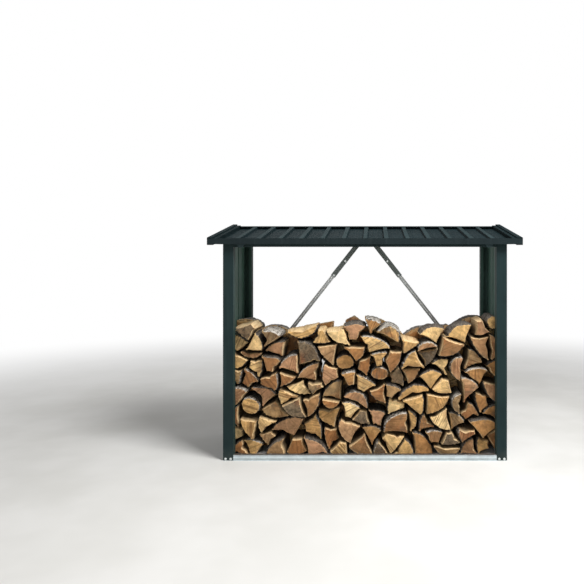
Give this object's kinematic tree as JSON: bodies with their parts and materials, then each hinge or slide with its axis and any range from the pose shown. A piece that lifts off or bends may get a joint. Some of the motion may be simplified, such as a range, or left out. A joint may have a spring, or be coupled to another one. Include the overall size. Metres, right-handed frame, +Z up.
{
  "type": "log store",
  "caption": "Free-standing steel log store with a mono-pitch ribbed roof, ribbed side walls and braced open back, filled with two rows of split firewood.",
  "frame": {"origin": "on the ground under the middle of the roof", "axes": "+X along the front to the right, +Y to the open braced back, +Z up"},
  "size_m": [2.42, 0.89, 1.8768],
  "materials": {
    "firewood": "split firewood, bark on the round sides",
    "frame_paint": "satin anthracite paint",
    "galvanised": "galvanised, satin",
    "galvanised_shaded": "galvanised, dull",
    "roof_paint": "satin anthracite paint on ribbed sheet",
    "trim_paint": "satin anthracite paint",
    "wall_paint": "satin anthracite paint on ribbed sheet"
  },
  "bodies": {
    "root": {"base_rail_front": "galvanised", "base_rail_left": "galvanised", "base_rail_rear": "galvanised", "base_rail_right": "galvanised", "brace_lower_left": "galvanised", "brace_lower_right": "galvanised", "brace_upper_left": "galvanised_shaded", "brace_upper_right": "galvanised_shaded", "fascia_front": "trim_paint", "firewood_front": "firewood", "firewood_rear": "firewood", "front_bracket_left": "trim_paint", "front_bracket_right": "trim_paint", "header_front": "frame_paint", "header_rear": "frame_paint", "post_front_left": "frame_paint", "post_front_right": "frame_paint", "post_rear_left": "frame_paint", "post_rear_right": "frame_paint", "rake_left": "trim_paint", "rake_right": "trim_paint", "roof_sheet_1": "roof_paint", "roof_sheet_2": "roof_paint", "roof_sheet_3": "roof_paint", "roof_sheet_4": "roof_paint", "roof_sheet_5": "roof_paint", "roof_sheet_6": "roof_paint", "roof_sheet_7": "roof_paint", "side_wall_left": "wall_paint", "side_wall_right": "wall_paint", "top_rail_left": "frame_paint", "top_rail_right": "frame_paint", "trim_rear": "trim_paint"}
  },
  "joints": []
}
